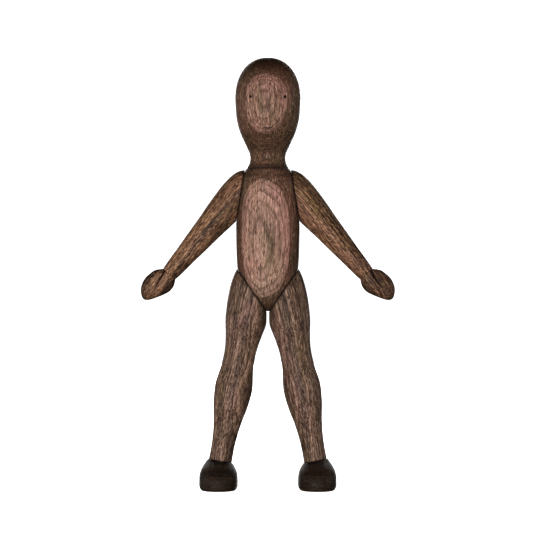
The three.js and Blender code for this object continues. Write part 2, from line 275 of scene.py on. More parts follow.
@dataclass(frozen=True)
class Skeleton:
    """The joints that the wooden pieces are built on."""

    neck: Joint = field(default_factory=lambda: Joint.named("neck_turn"))
    shoulder: Joint = field(default_factory=lambda: Joint.named("right_shoulder_swing"))
    hip: Joint = field(default_factory=lambda: Joint.named("right_hip_swing"))
    ankle: Joint = field(default_factory=lambda: Joint.named("right_ankle_turn"))


def socket(
    joint: Joint, corner: np.ndarray, before: np.ndarray, out: float, radius: float, depth: float
) -> tuple[list[np.ndarray], np.ndarray]:
    """The rings from a limb's side over its rim, across its joint face and down a round bore.

    Args:
        joint: the joint whose face and axis these are.
        corner: the ring of points where the limb's side meets the face.
        before: a ring on the limb's side, one rounding's width before the corner.
        out: the face's distance from the joint along its axis.
        radius: the bore's radius.
        depth: the bore's depth below the face, negative when it runs against the axis.

    Returns:
        The rings, and the pole at the bottom of the bore.
    """
    bore = joint.rim(corner, radius, out)
    inward = corner + unit(bore - corner) * EDGE
    rings = [
        before * (1 - t) ** 2 + corner * 2 * t * (1 - t) + inward * t**2
        for t in np.linspace(0, 1, 6)
    ]
    rings += [inward + (bore - inward) * t for t in (0.12, 0.3, 0.5, 0.7, 0.85, 0.96)]
    chamfer = math.copysign(CHAMFER, depth)
    levels = [chamfer, depth * 0.5, depth - chamfer]
    rings += [joint.rim(corner, radius + abs(chamfer), out)]
    rings += [joint.rim(corner, radius, out + level) for level in levels]
    rings += [joint.rim(corner, radius * share, out + depth) for share in (0.97, 0.6, 0.2)]
    return rings, joint.place + joint.axis * (out + depth)


def crossing(
    surface: Callable[[np.ndarray], np.ndarray],
    joint: Joint,
    out: float,
    low: float,
    high: float,
    sides: int,
) -> np.ndarray:
    """Where each line along a limb meets its joint face.

    Args:
        surface: gives a ring of points from one distance for each line.
        joint: the joint whose face it is.
        out: the face's distance from the joint along its axis.
        low: a distance short of the face.
        high: a distance past the face.
        sides: how many lines there are.

    Returns:
        The distance of the meeting on each line.
    """
    a, b = np.full(sides, low), np.full(sides, high)
    start = np.sign(joint.height(surface(a)) - out)
    for _ in range(HALVINGS):
        middle = (a + b) / 2
        same = np.sign(joint.height(surface(middle)) - out) == start
        a, b = np.where(same, middle, a), np.where(same, b, middle)
    return a


# ---------------------------------------------------------------- materials


class Tree:
    """A short way to write a node tree."""

    def __init__(self, tree: bpy.types.NodeTree) -> None:
        """Starts from an empty tree."""
        self.tree = tree
        tree.nodes.clear()

    def node(self, kind: str, inputs: dict | None = None, **settings: object) -> bpy.types.Node:
        """Adds a node, with its settings and what feeds each input.

        Args:
            kind: the node's type.
            inputs: a value or an output socket for each input, by name or number.
            settings: the node's own properties.

        Returns:
            The new node.
        """
        made = self.tree.nodes.new(kind)
        for key, value in settings.items():
            setattr(made, key, value)
        for key, value in (inputs or {}).items():
            if isinstance(value, Socket):
                self.tree.links.new(value, made.inputs[key])
            else:
                made.inputs[key].default_value = value
        return made

    def made(self, kind: str, inputs: dict | None = None, **settings: object) -> Socket:
        """Adds a node as node() does, and returns its first output."""
        return self.node(kind, inputs, **settings).outputs[0]

    def math(self, operation: str, a: object, b: object = 0.0, c: object = 0.0) -> Socket:
        """One math node's operation on one to three numbers."""
        return self.made("ShaderNodeMath", {0: a, 1: b, 2: c}, operation=operation)

    def times(self, a: object, b: object) -> Socket:
        """One number times another."""
        return self.math("MULTIPLY", a, b)

    def scaled(self, vector: object, scale: Triple) -> Socket:
        """A vector times another, part by part."""
        return self.made("ShaderNodeVectorMath", {0: vector, 1: scale}, operation="MULTIPLY")

    def noise(self, vector: object, scale: Triple, detail: float = 2) -> Socket:
        """Soft noise from 0 to 1, with a number of cells per millimetre each way."""
        inputs = {"Vector": self.scaled(vector, scale), "Scale": 1.0, "Detail": detail, "Roughness": 0.55}
        return self.node("ShaderNodeTexNoise", inputs).outputs["Fac"]

    def step(self, value: object, low: float, high: float, to: tuple[float, float] = (0, 1)) -> Socket:
        """A soft step as a value passes from low to high."""
        inputs = {"Value": value, "From Min": low, "From Max": high, "To Min": to[0], "To Max": to[1]}
        return self.made("ShaderNodeMapRange", inputs, interpolation_type="SMOOTHSTEP")

    def mix(self, share: object, a: object, b: object, blend: str = "MIX") -> Socket:
        """A mix of two colours."""
        made = self.node("ShaderNodeMix", {"Factor": share}, data_type="RGBA", blend_type=blend)
        for slot, value in ((6, a), (7, b)):
            if isinstance(value, Socket):
                self.tree.links.new(value, made.inputs[slot])
            else:
                made.inputs[slot].default_value = (*value, 1)
        return made.outputs[2]

    def bump(self, height: object, depth: float, strength: float) -> Socket:
        """Relief from a height of 0 to 1, that many metres deep."""
        inputs = {"Strength": strength, "Distance": depth, "Height": height}
        return self.made("ShaderNodeBump", inputs)

    def surface(self, **inputs: object) -> None:
        """Ends the tree in a principled surface; input names have _ for a space."""
        named = {key.replace("_", " "): value for key, value in inputs.items()}
        shader = self.node("ShaderNodeBsdfPrincipled", named)
        self.node("ShaderNodeOutputMaterial", {"Surface": shader.outputs[0]})


def srgb(red: int, green: int, blue: int) -> Triple:
    """A colour as light, from its values of 0 to 255."""
    return tuple(
        c / 12.92 if c <= 0.04045 else ((c + 0.055) / 1.055) ** 2.4
        for c in (red / 255, green / 255, blue / 255)
    )


def new_material(name: str) -> tuple[bpy.types.Material, Tree]:
    """A material and its empty tree."""
    material = bpy.data.materials.new(name)
    material.use_nodes = True
    return material, Tree(material.node_tree)


@dataclass(frozen=True)
class Grain:
    """How a piece of timber lies in its log: the pith's place and the direction of growth.

    Attributes:
        pith: a point on the log's middle, in metres.
        turn: the log's direction, as turns about X, Y and Z in degrees from upright.
        bow: how far the growth rings bow along the log, in 1/mm.
        pitch: the width of a growth ring, in mm.
        pale_from: the radius in the log from which the wood is paler, in mm.
    """

    pith: Triple
    turn: Triple = (0, 0, 0)
    bow: float = 0.0008
    pitch: float = 0.62
    pale_from: float = 0.0

    @property
    def direction(self) -> np.ndarray:
        """The direction of growth."""
        return np.array(Euler([math.radians(t) for t in self.turn]).to_matrix() @ Vector((0, 0, 1)))


@dataclass(frozen=True)
class Timber:
    """Open-pored, smoked and oiled timber.

    Attributes:
        name: the material's name.
        grain: how the piece lies in its log.
        pale: the palest growth rings.
        dark: the darkest growth rings.
        rosy: the tint that drifts in over wide areas.
        olive: the second such tint.
        pore: the colour in an open pore.
        fleck: the colour of the pale dashes along the grain, partly pale rays and pore filler, partly
            painted glints of sheen.
        outer: what the colour is multiplied by where the wood isn't paler.
        end_grain: what the colour is multiplied by on end grain, which drinks the stain.
        gloss: the roughness of the smooth wood between the pores.
        bite: how strongly the dark and pale fibres stand out, from 0 to 1.
    """

    name: str
    grain: Grain
    pale: Triple = srgb(162, 132, 114)
    dark: Triple = srgb(112, 88, 74)
    rosy: Triple = srgb(164, 122, 114)
    olive: Triple = srgb(132, 112, 84)
    pore: Triple = srgb(30, 20, 15)
    fleck: Triple = srgb(200, 168, 140)
    outer: Triple = (0.4, 0.38, 0.31)
    end_grain: Triple = (0.3, 0.26, 0.22)
    gloss: float = 0.6
    bite: float = 0.75

    def timber_space(self, tree: Tree) -> Socket:
        """Millimetres in the log: Z along the grain, X and Y across it."""
        place = tree.node("ShaderNodeTexCoord").outputs["Object"]
        inputs = {
            "Vector": place,
            "Location": self.grain.pith,
            "Rotation": tuple(math.radians(t) for t in self.grain.turn),
            "Scale": (MM, MM, MM),
        }
        return tree.made("ShaderNodeMapping", inputs, vector_type="TEXTURE")

    def rings(self, tree: Tree, log: Socket) -> tuple[Socket, ...]:
        """The growth rings.

        Args:
            tree: the tree to write in.
            log: the place in the log.

        Returns:
            Each ring's own tone, the dark late wood at its rim, and where the wood is paler.
        """
        x, y, z = tree.node("ShaderNodeSeparateXYZ", {0: log}).outputs[:3]
        radius = tree.math("SQRT", tree.math("ADD", tree.times(x, x), tree.times(y, y)))
        bowed = tree.times(tree.times(z, z), self.grain.bow)
        wander = tree.times(tree.noise(log, (0.07, 0.07, 0.012)), 1.6)
        ripple = tree.times(tree.noise(log, (0.5, 0.5, 0.06)), 0.25)
        shape = tree.math("ADD", tree.math("SUBTRACT", radius, bowed), tree.math("ADD", wander, ripple))
        count = tree.math("DIVIDE", shape, self.grain.pitch)
        whole = tree.math("FLOOR", count)
        part = tree.math("FRACT", count)
        tone = tree.node("ShaderNodeTexWhiteNoise", {"W": whole}, noise_dimensions="1D").outputs["Value"]
        rise = tree.step(part, 0.45, 0.93)
        fall = tree.step(part, 0.93, 1.0, (1, 0))
        edge = self.grain.pale_from
        return tone, tree.times(rise, fall), tree.step(shape, edge - 0.5, edge + 0.2)

    def pores(self, tree: Tree, log: Socket, late: Socket) -> Socket:
        """Open pores as short dashes along the grain, in two sizes, fewer in the late wood."""
        coarse = self.dashes(tree, log, (1.5, 1.5, 0.22), 0.36, 0.4)
        fine = self.dashes(tree, log, (2.9, 2.9, 0.5), 0.4, 0.25)
        both = tree.math("MAXIMUM", coarse, tree.times(fine, 0.75))
        return tree.times(both, tree.math("SUBTRACT", 1.0, tree.times(late, 0.4)))

    @staticmethod
    def dashes(tree: Tree, log: Socket, scale: Triple, width: float, empty: float) -> Socket:
        """Scattered dashes.

        Args:
            tree: the tree to write in.
            log: the place in the log.
            scale: how many cells there are per millimetre each way; one dash lies in each.
            width: the dash's half-width as a share of its cell.
            empty: the share of cells left empty.

        Returns:
            1 in a dash and 0 between them.
        """
        cells = tree.node("ShaderNodeTexVoronoi", {"Vector": tree.scaled(log, scale), "Scale": 1.0})
        inside = tree.step(cells.outputs["Distance"], width * 0.55, width, (1, 0))
        lot = tree.made("ShaderNodeSeparateColor", {0: cells.outputs["Color"]})
        return tree.times(inside, tree.step(lot, empty - 0.08, empty + 0.08))

    def colour(
        self,
        tree: Tree,
        log: Socket,
        rings: tuple[Socket, ...],
        pores: Socket,
    ) -> Socket:
        """The wood's colour, from its rings, drifting tints, fibres, pale dashes that are partly painted
        glints, and pores.
        """
        tone, late, inner = rings
        base = tree.mix(tree.step(tone, 0.1, 0.9, (0.15, 0.85)), self.dark, self.pale)
        wide, drift = tree.noise(log, (0.06, 0.06, 0.016), 3), tree.noise(log, (0.11, 0.09, 0.02), 3)
        base = tree.mix(tree.step(wide, 0.42, 0.66, (0, 0.75)), base, self.rosy)
        base = tree.mix(tree.step(drift, 0.54, 0.72, (0, 0.5)), base, self.olive)
        base = tree.mix(tree.math("SUBTRACT", 1.0, inner), base, self.outer, "MULTIPLY")
        base = tree.mix(tree.times(late, 0.75), base, self.outer, "MULTIPLY")
        streak = tree.step(tree.noise(log, (1.1, 1.1, 0.05), 4), 0.35, 0.65)
        fibre = tree.step(tree.noise(log, (3.2, 3.2, 0.3), 2), 0.38, 0.62)
        streaks = tree.mix(streak, (0.45, 0.41, 0.38), (1.35, 1.33, 1.3))
        fibres = tree.mix(fibre, (0.4, 0.37, 0.35), (1.5, 1.5, 1.5))
        base = tree.mix(self.bite, base, streaks, "MULTIPLY")
        base = tree.mix(self.bite, base, fibres, "MULTIPLY")
        # partly painted highlight: pale dashes along the grain stand for rays and pore filler and also for
        # glints of sheen
        flecks_and_glints = self.dashes(tree, log, (2.3, 2.3, 0.32), 0.4, 0.6)
        base = tree.mix(tree.times(flecks_and_glints, 0.42), base, self.fleck)
        return tree.mix(tree.times(pores, 0.9), base, self.pore)

    def material(self) -> bpy.types.Material:
        """Builds the finish."""
        material, tree = new_material(self.name)
        log = self.timber_space(tree)
        rings = self.rings(tree, log)
        late = rings[1]
        pores = self.pores(tree, log, late)
        colour = self.colour(tree, log, rings, pores)
        # painted shade: the seams between pieces, the thumb's groove and the hand's edges are painted
        # towards the pores' near-black
        rim = tree.node("ShaderNodeAttribute", attribute_name="rim").outputs["Fac"]
        end = tree.node("ShaderNodeAttribute", attribute_name="end_grain").outputs["Fac"]
        colour = tree.mix(tree.step(end, 0.1, 0.85), colour, self.end_grain, "MULTIPLY")
        colour = tree.mix(rim, colour, self.pore)
        grit = tree.noise(log, (5.0, 5.0, 0.5), 3)
        smooth_wood = tree.step(grit, 0.3, 0.7, (self.gloss - 0.07, self.gloss + 0.09))
        rough = tree.math("ADD", smooth_wood, tree.times(pores, 0.25))
        relief = tree.math("SUBTRACT", tree.times(grit, 0.3), pores)
        relief = tree.math("SUBTRACT", relief, tree.times(late, 0.12))
        tree.surface(
            Base_Color=colour,
            Roughness=rough,
            Normal=tree.bump(relief, 0.12 * MM, 0.55),
            Specular_IOR_Level=0.18,
        )
        return material


@dataclass(frozen=True)
class HollowShade:
    """Painted shade: a near-black finish inside a drilled eye or the cut of the mouth."""

    name: str = "burnt_wood"

    def material(self) -> bpy.types.Material:
        """Builds the finish."""
        material, tree = new_material(self.name)
        place = tree.node("ShaderNodeTexCoord").outputs["Object"]
        mottle = tree.noise(place, (4000, 4000, 4000), 3)
        tree.surface(
            # painted shade: the hollows are painted near-black
            Base_Color=tree.mix(mottle, srgb(14, 9, 8), srgb(34, 24, 20)),
            Roughness=tree.step(mottle, 0.3, 0.7, (0.75, 0.95)),
            Normal=tree.bump(mottle, 0.05 * MM, 0.5),
        )
        return material


@dataclass(frozen=True)
class Metal:
    """Drawn or turned metal with fine marks and a little tarnish."""

    name: str
    bright: Triple
    dull: Triple
    gloss: float = 0.3

    def material(self) -> bpy.types.Material:
        """Builds the finish."""
        material, tree = new_material(self.name)
        place = tree.node("ShaderNodeTexCoord").outputs["Object"]
        tarnish = tree.noise(place, (700, 700, 700), 4)
        marks = tree.noise(place, (9000, 9000, 400), 2)
        tree.surface(
            Base_Color=tree.mix(tree.step(tarnish, 0.4, 0.7), self.bright, self.dull),
            Metallic=1.0,
            Roughness=tree.step(marks, 0.2, 0.8, (self.gloss - 0.08, self.gloss + 0.14)),
            Normal=tree.bump(marks, 0.01 * MM, 0.3),
        )
        return material


@dataclass(frozen=True)
class Rubber:
    """Matt moulded rubber with a dusty bloom."""

    name: str = "bush_rubber"

    def material(self) -> bpy.types.Material:
        """Builds the finish."""
        material, tree = new_material(self.name)
        place = tree.node("ShaderNodeTexCoord").outputs["Object"]
        bloom = tree.noise(place, (500, 500, 500), 4)
        skin = tree.noise(place, (6000, 6000, 6000), 2)
        tree.surface(
            Base_Color=tree.mix(tree.step(bloom, 0.45, 0.75), srgb(30, 30, 32), srgb(62, 61, 60)),
            Roughness=tree.step(bloom, 0.3, 0.7, (0.72, 0.9)),
            Normal=tree.bump(skin, 0.02 * MM, 0.4),
        )
        return material


# ---------------------------------------------------------------- wooden pieces


def dress(
    piece: Piece,
    timber: Timber,
    faces: Iterable[Joint],
    body: str,
    painted_shade: Callable[[np.ndarray], np.ndarray] | None = None,
) -> None:
    """Gives a wooden piece its finish, its painted shade at the joint seams and its place in the frame.

    Args:
        piece: the piece, named after the CAD node that it stands for.
        timber: its timber.
        faces: the joints whose faces the piece meets, mirrored already for a left piece.
        body: the frame body that it moves with.
        painted_shade: gives how dark the piece is painted at some points to stand in for shade, apart from
            its seams.
    """
    points = np.empty(len(piece.data.vertices) * 3)
    piece.data.vertices.foreach_get("co", points)
    points = points.reshape(-1, 3)
    # painted shade from the piece's own marks, such as the arm's thumb groove and hand edges
    rim = painted_shade(points) if painted_shade else np.zeros(len(points))
    # painted shade: the wood darkens towards each joint seam, where the gap between two pieces lies in shade
    for joint in faces:
        rim = np.maximum(rim, np.exp(-np.abs(joint.height(points)) / SEAM_SHADE_REACH))
    normals = np.empty(len(points) * 3)
    piece.data.vertex_normals.foreach_get("vector", normals)
    end = np.abs(normals.reshape(-1, 3) @ timber.grain.direction)
    for name, values in (("rim", rim), ("end_grain", end)):
        layer = piece.data.attributes.new(name, "FLOAT", "POINT")
        layer.data.foreach_set("value", values)
    piece.data.materials.clear()
    piece.data.materials.append(timber.material())
    soften(piece)
    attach(piece, body)
    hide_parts(piece.name.removesuffix("_skin"))
    LOG.info("%s: %d faces on %s", piece.name, len(piece.data.polygons), body)


def mirrored(joint: Joint, side: Side) -> Joint:
    """A right joint, or its mirror image for the left side."""
    flip = np.array([side.sign, 1, 1])
    return Joint(joint.place * flip, joint.axis * flip)


@dataclass(frozen=True)
class Head:
    """The turned head and neck, with drilled eyes and a cut mouth."""

    bones: Skeleton
    radius: float = 16.7 * MM
    neck_radius: float = 8.95 * MM
    neck_foot: float = 10.69 * MM
    eye_spacing: float = 17.4 * MM
    eye_height: float = 35.7 * MM
    eye_radius: float = 0.78 * MM
    eye_depth: float = 1.4 * MM
    mouth_width: float = 4.7 * MM
    mouth_height: float = 19.8 * MM
    mouth_curl: float = 0.55 * MM
    mouth_groove: float = 0.3 * MM
    dowel_radius: float = NECK_DOWEL
    dowel_depth: float = 10 * MM
    widest: float = 0.625  # where the curve passes into the dome, as a share of the height
    dome_power: float = 2.2
    sides: int = 160

    @cached_property
    def height(self) -> float:
        """From the neck seam to the crown."""
        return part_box("head")[1].z - self.bones.neck.place[2]

    def profile(self, height: np.ndarray | float) -> np.ndarray:
        """The radius at a height over the neck seam: a curve to the widest ring, then a dome."""
        swell = self.radius - self.neck_radius
        flare = self.neck_foot - self.neck_radius
        chin = [
            [0, self.neck_radius + flare],
            [0.045, self.neck_radius + 0.26 * flare],
            [0.092, self.neck_radius],
            [0.138, self.neck_radius + 0.055 * swell],
            [0.222, self.neck_radius + 0.335 * swell],
            [0.33, self.neck_radius + 0.685 * swell],
            [0.46, self.neck_radius + 0.915 * swell],
            [self.widest, self.radius],
        ]
        share = np.atleast_1d(height) / self.height
        rise = np.clip((share - self.widest) / (1 - self.widest), 0, 1)
        dome = self.radius * (1 - rise**self.dome_power) ** (1 / self.dome_power)
        return np.where(share < self.widest, smooth(chin, np.minimum(share, self.widest))[:, 0], dome)

    def shape(self) -> Piece:
        """Turns the head and neck on the lathe, with the dowel's socket in its foot."""
        cos, sin = circle(self.sides)
        up = self.bones.neck.axis
        flat = np.stack([cos, sin, np.zeros(self.sides)], 1)
        base = self.bones.neck.place

        def ring(height: float) -> np.ndarray:
            """The ring of the outside at a height over the seam."""
            return base + up * height + flat * self.profile(height)[0]

        foot, pole = socket(
            self.bones.neck, ring(0), ring(EDGE), 0.0, self.dowel_radius + FIT, self.dowel_depth
        )
        body = np.linspace(EDGE, self.widest * self.height, 110)
        turns = np.linspace(0, math.pi / 2, 60)[1:-1]
        crown = self.height * (self.widest + (1 - self.widest) * np.sin(turns))
        skin = Skin(pole)
        skin.add(foot[::-1])
        skin.add(ring(h) for h in (*body[1:], *crown))
        return skin.piece("head_skin", base + up * self.height)

    def eye_drill(self, side: Side) -> Piece:
        """The drill for one eye, square to the wood."""
        radius = self.profile(self.eye_height)[0]
        x = -side.sign * self.eye_spacing / 2
        out = unit(np.array([x, -math.sqrt(radius**2 - x**2), 0]))
        middle = self.bones.neck.place + self.bones.neck.axis * self.eye_height
        bottom = middle + out * (radius - self.eye_depth)
        return rod(bottom, middle + out * (radius + MM), self.eye_radius)

    def mouth_cutter(self) -> Piece:
        """The curved gouge that cuts the mouth, finest at its two ends."""
        cos, sin = circle(16)
        neck = self.bones.neck.place
        rings, ends = [], []
        for s in np.linspace(-1, 1, 33):
            x = s * self.mouth_width / 2
            height = self.mouth_height + self.mouth_curl * s**2
            front = math.sqrt(self.profile(height)[0] ** 2 - x**2)
            middle = np.array([x, neck[1] - front, neck[2] + height])
            half = self.mouth_groove * (1 - 0.6 * s**2)
            rings.append(middle + half * (np.outer(cos, (0, 1, 0)) + np.outer(sin, (0, 0, 1))))
            ends.append(middle)
        skin = Skin(ends[0])
        skin.add(rings)
        return skin.piece("tool", ends[-1])

    def build(self, timber: Timber) -> Piece:
        """Makes the head and dresses it."""
        piece = self.shape()
        carve(piece, self.eye_drill(Side.RIGHT), self.eye_drill(Side.LEFT), self.mouth_cutter())
        outwards(piece, 0.003 * MM)
        dress(piece, timber, [self.bones.neck], "head")
        # painted shade inside the eyes and the mouth
        self.paint_hollow_shade(piece)
        return piece

    def paint_hollow_shade(self, piece: Piece) -> None:
        """Paints shade inside the eyes and the mouth: their inner faces take the near-black finish."""
        piece.data.materials.append(HollowShade().material())
        count = len(piece.data.polygons)
        centres = np.empty(count * 3)
        piece.data.polygons.foreach_get("center", centres)
        x, y, z = (centres.reshape(-1, 3) - self.bones.neck.place).T
        inside = np.hypot(x, y) < self.profile(z) - 0.035 * MM
        face = (y < -5 * MM) & (z > 2 * MM) & (z < self.height - 5 * MM)
        # the eye holes' and the mouth's inner faces get the painted shade
        piece.data.polygons.foreach_set("material_index", (inside & face).astype(np.int32))


@dataclass(frozen=True)
class Torso:
    """The carved block, with flat faces for the arms and a keel of two flat faces for the legs."""

    bones: Skeleton
    width: float = 34.4 * MM
    depth: float = 27 * MM
    neck_foot: float = 10.89 * MM
    keel_rise: float = 1.4 * MM
    bore_radius: float = 1.9 * MM
    bush_radius: float = 4.8 * MM
    bush_depth: float = 10 * MM
    sides: int = 176

    @property
    def keel(self) -> float:
        """The height of the blunt tip, a little over where the hip faces would meet."""
        hip = self.bones.hip
        return hip.place[2] + hip.place[0] * hip.axis[0] / hip.axis[2] + self.keel_rise

    def section(self, share: float) -> tuple[float, float]:
        """Half the block's width and depth at a share of its height, before its faces are cut."""
        table = [
            [0, 0.64, 0.56],
            [0.05, 0.79, 0.77],
            [0.13, 0.885, 0.905],
            [0.3, 0.91, 0.985],
            [0.42, 0.935, 1],
            [0.6, 0.955, 1],
            [0.75, 1, 0.985],
            [0.87, 0.97, 0.955],
            [0.93, 0.87, 0.92],
            [0.97, 0.74, 0.85],
            [1, 2 * self.neck_foot / self.width, 2 * self.neck_foot / self.depth],
        ]
        wide, deep = smooth(table, share)[0]
        return wide * self.width / 2, deep * self.depth / 2

    def reach(self, joint: Joint, height: float) -> float:
        """How far from the midline a joint's face lies at a height."""
        across, up = -joint.axis[0], joint.axis[2]
        return (-joint.place[0] * across - (height - joint.place[2]) * up) / across

    def ring(self, share: float) -> np.ndarray:
        """The outline at a share of the height, with the joint faces cut."""
        cos, sin = circle(self.sides)
        height = self.keel + share * (self.bones.neck.place[2] - SEAM - self.keel)
        wide, deep = self.section(share)
        power = 2 + 0.3 * math.sin(math.pi * share)
        x, y = wide * bend(cos, power), deep * bend(sin, power)
        limit = min(self.reach(self.bones.shoulder, height), self.reach(self.bones.hip, height))
        x = np.sign(x) * np.maximum(soft_limit(np.abs(x), limit, min(0.4 * MM, 0.3 * limit)), 0)
        return np.stack([x, y + self.bones.neck.place[1], np.full(self.sides, height)], 1)

    def shape(self) -> Piece:
        """Carves the block, with the neck bush's socket in its top."""
        neck = self.bones.neck
        low, high, last = 0.12, 0.88, 0.994
        shares = np.concatenate(
            [
                np.linspace(0, low, 26),
                np.linspace(low, high, 90)[1:],
                np.linspace(high, last, 34)[1:],
            ]
        )
        top, pole = socket(
            neck, self.ring(1), self.ring(last), -SEAM, self.bush_radius, -self.bush_depth
        )
        skin = Skin(np.array([0, neck.place[1], self.keel]))
        start = self.ring(0)
        middle = np.array([0, neck.place[1], self.keel])
        skin.add(middle + (start - middle) * t for t in (0.3, 0.7, 0.93))
        skin.add(self.ring(share) for share in shares)
        skin.add(top)
        return skin.piece("torso_skin", pole)

    def build(self, timber: Timber) -> Piece:
        """Makes the torso, drills it for the two springs and dresses it."""
        piece = self.shape()
        joints = []
        for joint in (self.bones.shoulder, self.bones.hip):
            elbow = joint.place - joint.axis * (joint.place[0] / joint.axis[0])
            for side in Side:
                face = mirrored(joint, side)
                joints.append(face)
                past = elbow - face.axis * 0.6 * MM
                carve(piece, rod(past, face.place + face.axis * MM, self.bore_radius))
        dress(piece, timber, [*joints, self.bones.neck], "torso")
        return piece


@dataclass(frozen=True)
class Arm:
    """A turned arm whose hand is carved from the same blank."""

    bones: Skeleton
    side: Side
    lean: float = ARM_LEAN
    rise: float = 3.5 * MM
    length: float = 56.7 * MM
    radius: float = 9 * MM
    wrist_radius: float = 4.15 * MM
    hand_length: float = 18.2 * MM
    hand_half_width: float = 6.8 * MM
    hand_half_thickness: float = 3.8 * MM
    groove: float = 0.6 * MM
    groove_length: float = 0.58  # as a share of the hand's length
    seat_radius: float = 2.75 * MM
    seat_depth: float = 9.2 * MM
    sides: int = 144

    @property
    def up(self) -> np.ndarray:
        """The arm's direction, from the wrist to the shoulder."""
        return np.array([math.sin(math.radians(self.lean)), 0, math.cos(math.radians(self.lean))])

    @property
    def across(self) -> np.ndarray:
        """Square to the arm, towards the thumb."""
        return np.cross(self.up, (0, 1, 0))

    @property
    def wrist(self) -> np.ndarray:
        """The middle of the wrist."""
        face_up = np.cross(self.bones.shoulder.axis, (0, 1, 0))
        face_up = face_up * math.copysign(1, face_up[2])
        return self.bones.shoulder.place + face_up * self.rise - self.up * self.length

    def profile(self, distance: np.ndarray) -> np.ndarray:
        """The arm's radius at a distance from the wrist."""
        swell = [
            [0, 0],
            [0.05, 0.09],
            [0.23, 0.27],
            [0.39, 0.45],
            [0.56, 0.63],
            [0.71, 0.83],
            [0.85, 0.965],
            [0.95, 1],
            [1.04, 0.91],
            [1.11, 0.66],
            [1.16, 0.165],
            [1.2, -0.855],
        ]
        share = smooth(swell, distance / self.length)[:, 0]
        return np.maximum(self.wrist_radius + share * (self.radius - self.wrist_radius), 0)

    def surface(self, distance: np.ndarray) -> np.ndarray:
        """A ring of the arm, with its own distance from the wrist on each line."""
        cos, sin = circle(self.sides)
        radius = self.profile(distance)
        out = np.outer(cos * radius, self.across) + np.outer(sin * radius, (0, 1, 0))
        return self.wrist + np.outer(distance, self.up) + out

    def hand_ring(self, share: float) -> np.ndarray:
        """A ring of the hand at a share of its length below the wrist, with the thumb's groove."""
        table = [
            [0, 0, 0.62, 0.93],
            [0.17, 0.08, 0.92, 1],
            [0.35, 0.13, 1, 1],
            [0.52, 0.23, 0.955, 0.91],
            [0.69, 0.3, 0.874, 0.855],
            [0.84, 0.31, 0.814, 0.81],
            [1, 0.25, 0.7, 0.8],
        ]
        shift, wide, thick = smooth(table, share)[0]
        close = math.sqrt(max(1 - (max(share - 0.45, 0) / 0.55) ** 2, 0))
        cos, sin = circle(self.sides)
        across = self.hand_half_width * (shift + wide * close * cos)
        through = self.hand_half_thickness * thick * close * sin
        through -= np.sign(through) * self.groove_depth(share, across)
        middle = self.wrist - self.up * share * self.hand_length
        return middle + np.outer(across, self.across) + np.outer(through, (0, 1, 0))

    def groove_line(self, t: np.ndarray | float) -> np.ndarray | float:
        """How far towards the thumb its groove runs, at a share of the groove's length."""
        return (0.4 - 0.28 * t) * self.hand_half_width

    def groove_depth(self, share: float, across: np.ndarray) -> np.ndarray:
        """How deep the thumb's groove is, on either face of the hand."""
        t = share / self.groove_length
        if not 0 <= t < 1:
            return np.zeros_like(across)
        line = self.groove_line(t)
        half = self.groove * math.sqrt(1 - t**2)
        return 1.7 * half * np.clip(1 - np.abs(across - line) / half, 0, 1)

    def shape(self) -> Piece:
        """Turns the arm, carves the hand and cuts the shoulder face with the spring seat's bore."""
        joint = self.bones.shoulder
        end = crossing(self.surface, joint, SEAM, 0.2 * self.length, 1.2 * self.length, self.sides)
        skin = Skin(self.wrist - self.up * self.hand_length + self.across * 0.25 * self.hand_half_width)
        shares = np.cos(np.linspace(0, math.pi / 2, 130)[1:])
        skin.add(self.hand_ring(share) for share in shares)
        for rise, inset in ((0.0, 0.16), (0.05, 0.05), (0.14, 0.0)):
            ring = self.surface(np.full(self.sides, rise * MM))
            middle = self.wrist + self.up * rise * MM
            skin.add([middle + (ring - middle) * (1 - inset * MM / self.wrist_radius)])
        start = 0.3 * MM
        skin.add(self.surface(start + (end - EDGE - start) * t) for t in np.linspace(0, 1, 120)[:-1])
        face, pole = socket(
            joint, self.surface(end), self.surface(end - EDGE), SEAM, self.seat_radius, self.seat_depth
        )
        skin.add(face)
        return skin.piece(f"{self.side.value}_arm_skin", pole, self.side)

    def painted_shade(self, points: np.ndarray) -> np.ndarray:
        """Painted shade in the thumb's groove and towards the hand's side edges, with the whole hand a
        little darker, from 0 to 1, at some points.
        """
        local = points * (self.side.sign, 1, 1) - self.wrist
        share, across = -(local @ self.up) / self.hand_length, local @ self.across
        t = np.clip(share / self.groove_length, 0, 1)
        near = np.clip(1.3 - np.abs(across - self.groove_line(t)) / (1.3 * self.groove), 0, 1)
        # painted shade in the crease of the thumb's groove
        groove = near * (share > 0) * np.sqrt(1 - t**2)
        edge = np.abs(across / self.hand_half_width - 0.2)
        # the whole hand a little darker, and much darker towards its side edges as painted shade at its rims
        hand_edge_shade = np.clip(share / 0.1, 0, 1) * (0.22 + 0.55 * np.clip((edge - 0.45) / 0.45, 0, 1))
        return np.maximum(groove, hand_edge_shade)

    def build(self, timber: Timber) -> Piece:
        """Makes the arm and dresses it."""
        piece = self.shape()
        faces = [mirrored(self.bones.shoulder, self.side)]
        # painted shade on the thumb's groove and the hand's edges
        dress(piece, timber, faces, f"{self.side.value}_arm", self.painted_shade)
        return piece


